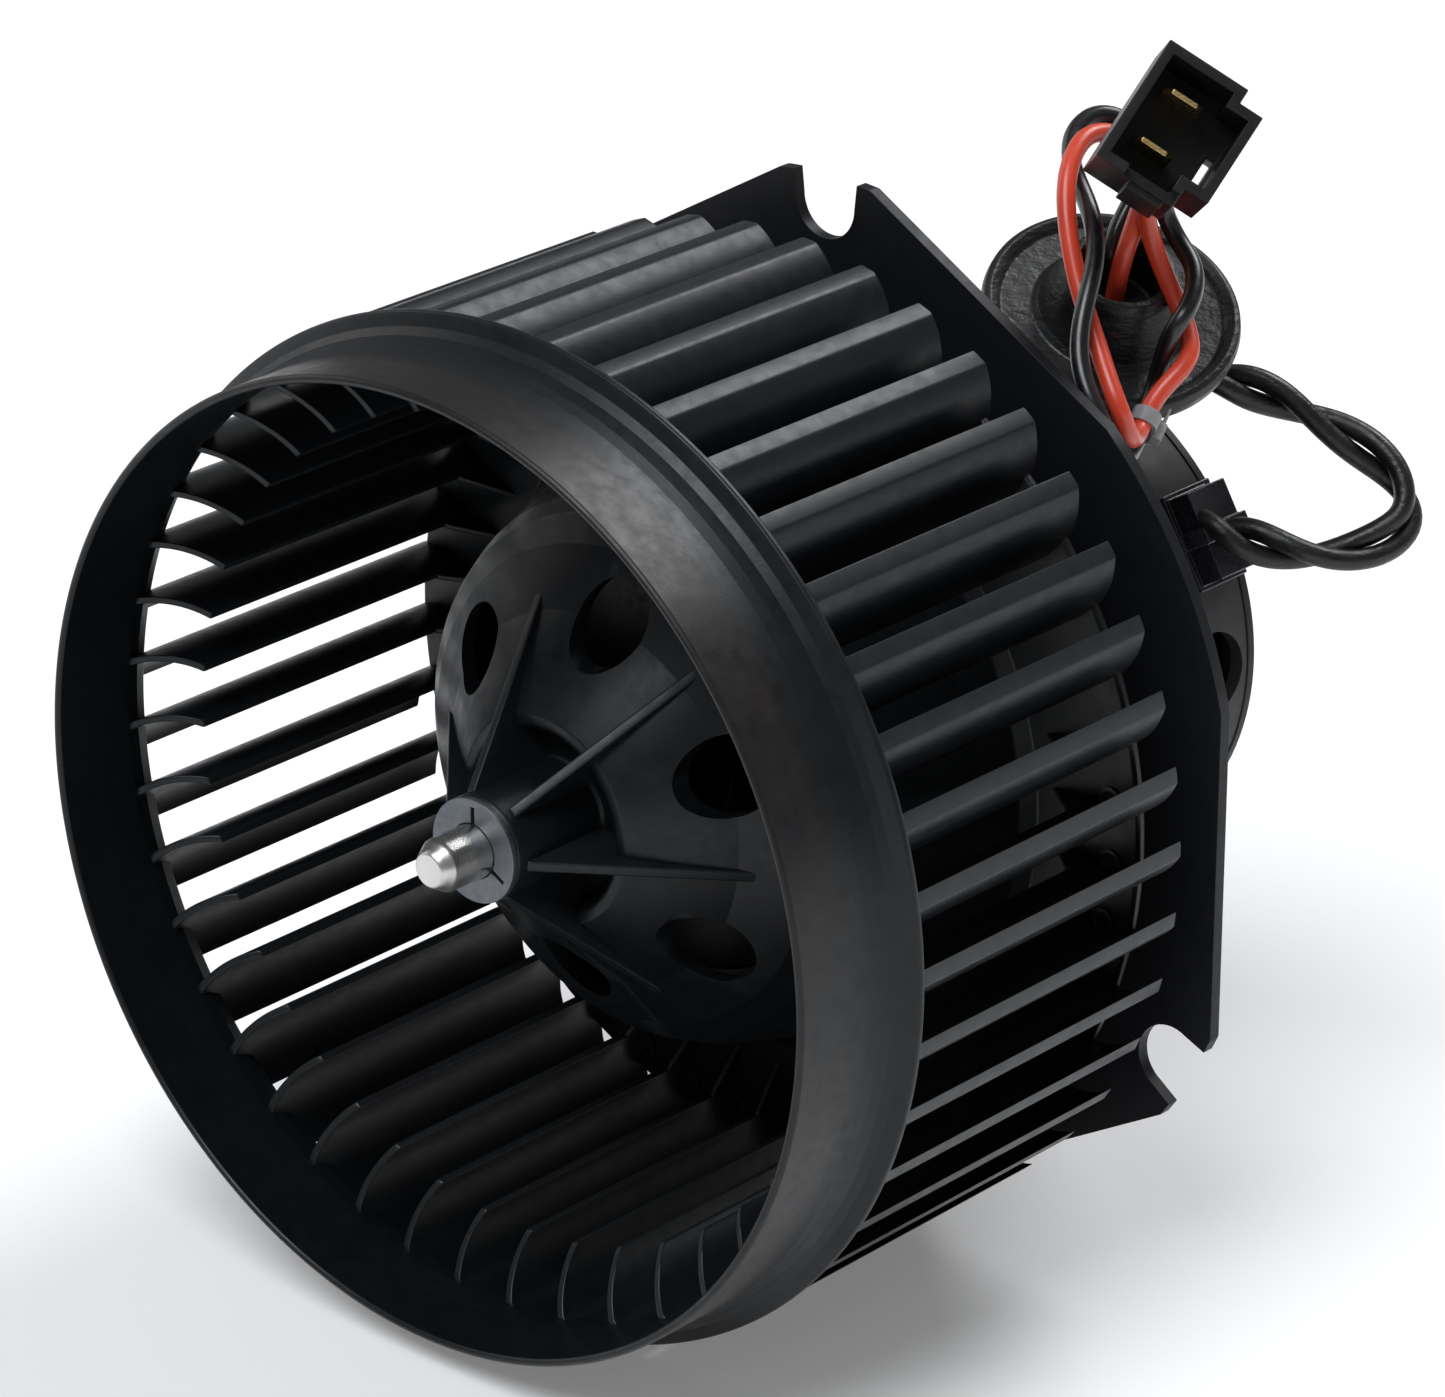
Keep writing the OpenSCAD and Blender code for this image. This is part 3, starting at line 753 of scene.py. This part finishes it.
def build_wheel():
    """The whole wheel, which is one moulding in the real object."""
    ring = soften(lathe("ring", rounded(RING, 0.5), RING_STEPS), 0)
    hub = lathe("hub", rounded(HUB, 1.0), HUB_STEPS)
    for k in range(HUB_PARTS):
        cut_away(hub, hub_hole(k))
    soften(hub, 0.28, 38)
    parts = [ring, hub]
    parts += [hub_rib(k) for k in range(HUB_PARTS)]
    for k in range(BLADES):
        parts.append(soften(blade_mesh(k), 0.24, 40))
        parts.append(ejector_mark(k))
        parts.append(foot_web(k))
    return join("wheel", parts)


wheel = dress(build_wheel(), wheel_black)
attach(wheel, "rotor")
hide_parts("wheel_hub", "hub_dome_upper", "hub_dome_lower",
            "wheel_blades", "wheel_ring")


# ---------------------------------------------------------------- other parts

def finer(name, node, mat, width, body):
    """A refined CAD node that takes the node's place on its body."""
    obj = dress(refined(name, node, width), mat)
    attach(obj, body)
    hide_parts(node)
    return obj


finer("motor_shaft", "shaft", bright_steel, 0.25, "rotor")
finer("retaining_nut", "push_nut", nut_steel, 0.15, "rotor")
finer("flange_and_cup", "flange_housing", plate_black, 0.35, "base")
finer("cup_cover", "rear_cover", cover_black, 0.25, "base")
finer("can", "motor_can", can_black, 0.5, "base")
finer("lead_block", "terminal_block", block_black, 0.35, "base")
plug_shell = finer("plug_shell", "connector_housing", plug_black, 0.28,
                   "base")
plug_blades = finer("plug_blades", "connector_blades", brass, 0.12, "base")
tie = finer("tie", "cable_tie", tie_grey, 0.2, "base")

GROMMET_STEPS = 128
WAVE, WAVE_TURN = 0.35, 0.7
WAVE_FROM, WAVE_ACROSS = 11, 8
GROMMET_AT = Vector((24.0, 36.0, 55.3)) * MM
GROMMET_TURN = (Matrix.Rotation(math.radians(-34), 4, "Z")
                @ Matrix.Rotation(math.radians(30), 4, "Y"))
GROMMET = [
    (0.05, -7.5), (5.6, -7.5), (6.4, -6.7), (7.0, -1.6), (17.2, -1.6),
    (18.2, -1.9), (19.0, -1.2), (19.2, 0.2), (18.9, 1.6), (18.0, 2.1),
    (17.0, 1.5), (16.4, 0.9), (11.8, 0.9), (10.9, 2.0), (8.3, 9.6),
    (7.7, 10.8), (6.5, 10.8), (6.2, 9.8), (6.2, 2.0), (0.05, 2.0),
]


def build_grommet():
    """The grommet, turned about its own axis, with a wavy rim."""
    outline = rounded(GROMMET, 0.6, 4)
    verts = []
    for k in range(GROMMET_STEPS):
        a = 2 * math.pi * k / GROMMET_STEPS
        for r, z in outline:
            out = max(0, (r - WAVE_FROM) / WAVE_ACROSS)
            sag = -WAVE * out ** 2 * math.cos(2 * a + WAVE_TURN)
            point = Vector((r * math.cos(a), r * math.sin(a), z + sag)) * MM
            verts.append(GROMMET_AT + GROMMET_TURN @ point)
    faces = turned_faces(len(outline), GROMMET_STEPS)
    return soften(put("lead_grommet", verts, faces, ready=True), 0)


grommet = dress(build_grommet(), grommet_rubber)
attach(grommet, "base")
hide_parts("grommet")

for obj, mat, node, slot in (
        (red_lead, red_skin, "lead_red", "red_insulated_wire"),
        (black_lead, black_skin, "lead_black", "black_insulated_wire"),
        (sleeved_lead_a, sleeving, "lead_sleeved_a", "sleeving"),
        (sleeved_lead_b, sleeving, "lead_sleeved_b", "sleeving")):
    dress(obj, mat)
    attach(obj, "base")
    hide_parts(node)

for node, mat in {
        "armature_core": sheet_steel, "armature_winding": copper,
        "slot_insulators": red_fibre, "commutator_core": phenolic,
        "commutator_bars": copper, "thrust_washers": spring_steel,
        "end_cap": zinc_plate, "magnets": ferrite,
        "magnet_clips": spring_steel, "bearing_front": bronze,
        "bearing_rear": bronze, "bearing_retainers": spring_steel,
        "brush_card": phenolic, "brush_holders": brass,
        "brushes": carbon, "brush_springs": spring_steel,
        "isolator_front": isolator_rubber, "isolator_rear": isolator_rubber,
        "terminal_tabs": brass}.items():
    dress(nodes[node], mat)


# ---------------------------------------------------------------- stage

FLOOR = 4.0
floor = put("floor", [(-FLOOR, -FLOOR, 0), (FLOOR, -FLOOR, 0),
                      (FLOOR, FLOOR, 0), (-FLOOR, FLOOR, 0)],
            [(0, 1, 2, 3)], ready=True)
floor.data.transform(Matrix.Translation((0, 0, cad_box[0][2])))
floor_mat, floor_tree, floor_shader = material("floor")
floor_tone = noise(floor_tree, coords(floor_tree), 3, 3)
floor_tree.links.new(two_tone(floor_tree, floor_tone, (0.86, 0.86, 0.865),
                              (0.89, 0.89, 0.895)),
                     floor_shader.inputs["Base Color"])
floor_shader.inputs["Roughness"].default_value = 0.9
floor_shader.inputs["Specular IOR Level"].default_value = 0.1
floor_shader.inputs["Emission Color"].default_value = (1, 1, 1, 1)
floor_shader.inputs["Emission Strength"].default_value = 0.16
dress(floor, floor_mat)

world_light = bpy.data.worlds.new("studio")
scene.world = world_light
world_light.use_nodes = True
sky = world_light.node_tree.nodes["Background"]
sky.inputs["Color"].default_value = (0.96, 0.98, 1.0, 1)
sky.inputs["Strength"].default_value = 0.22


def soft_sun(name, towards, strength, spread_deg, colour=(1, 1, 1)):
    """A broad, even light from one direction, given as the way to it."""
    data = bpy.data.lights.new(name, "SUN")
    data.energy = strength
    data.angle = math.radians(spread_deg)
    data.color = colour
    obj = bpy.data.objects.new(name, data)
    scene.collection.objects.link(obj)
    obj.rotation_euler = Vector(towards).to_track_quat("Z", "Y").to_euler()


soft_sun("front_top", (0.08, -0.50, 0.85), 1.9, 34, (0.95, 0.98, 1.0))
soft_sun("back_top", (0.05, 0.66, 0.75), 1.5, 30, (0.97, 0.98, 1.0))
soft_sun("left_fill", (-0.9, -0.1, 0.35), 0.35, 40)

scene.view_settings.view_transform = "Standard"
